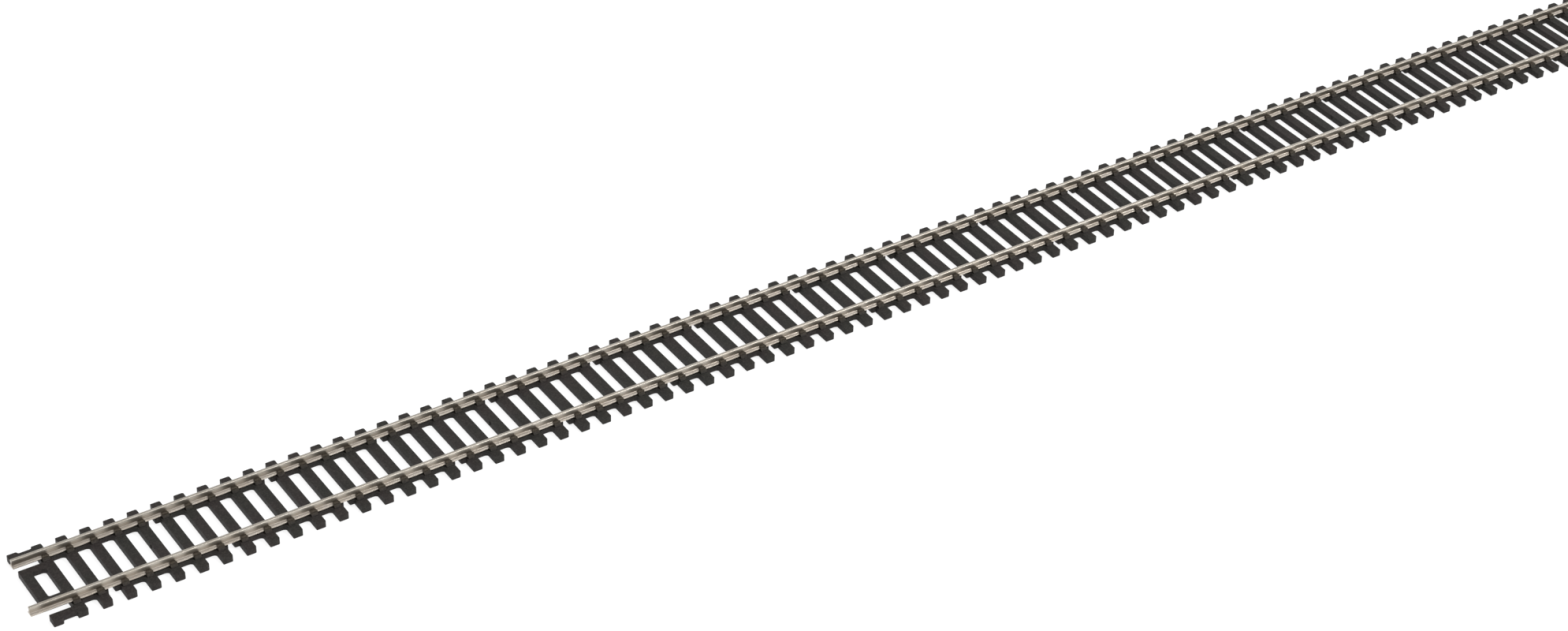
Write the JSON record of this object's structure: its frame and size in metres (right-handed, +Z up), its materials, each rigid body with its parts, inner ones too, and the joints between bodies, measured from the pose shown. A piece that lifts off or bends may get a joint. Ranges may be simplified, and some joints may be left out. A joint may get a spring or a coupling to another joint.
{
  "type": "model track section",
  "caption": "Straight length of flexible model railway track: two flat-bottomed metal rails sliding in one moulded plastic strip of sleepers.",
  "frame": {"origin": "on the plane of the sleepers' undersides, under the middle of the section, midway between the rails", "axes": "+X along the track, +Y from the front rail to the back rail, +Z up from the sleepers to the rails"},
  "size_m": [0.9174, 0.0272, 0.004],
  "materials": {
    "sleeper_plastic": "matt charcoal moulding with a fine grain",
    "rail_metal": "satin drawn metal of a warm grey"
  },
  "bodies": {
    "base": {"sleeper_base": "sleeper_plastic"},
    "front_rail": {"front_rail": "rail_metal"},
    "back_rail": {"back_rail": "rail_metal"}
  },
  "joints": [
    {"name": "front_rail_slide", "type": "slide", "parent": "base", "child": "front_rail", "axis": [1, 0, 0], "range_m": [-0.0165, 0.0195]},
    {"name": "back_rail_slide", "type": "slide", "parent": "base", "child": "back_rail", "axis": [1, 0, 0], "range_m": [-0.0195, 0.0165]}
  ]
}
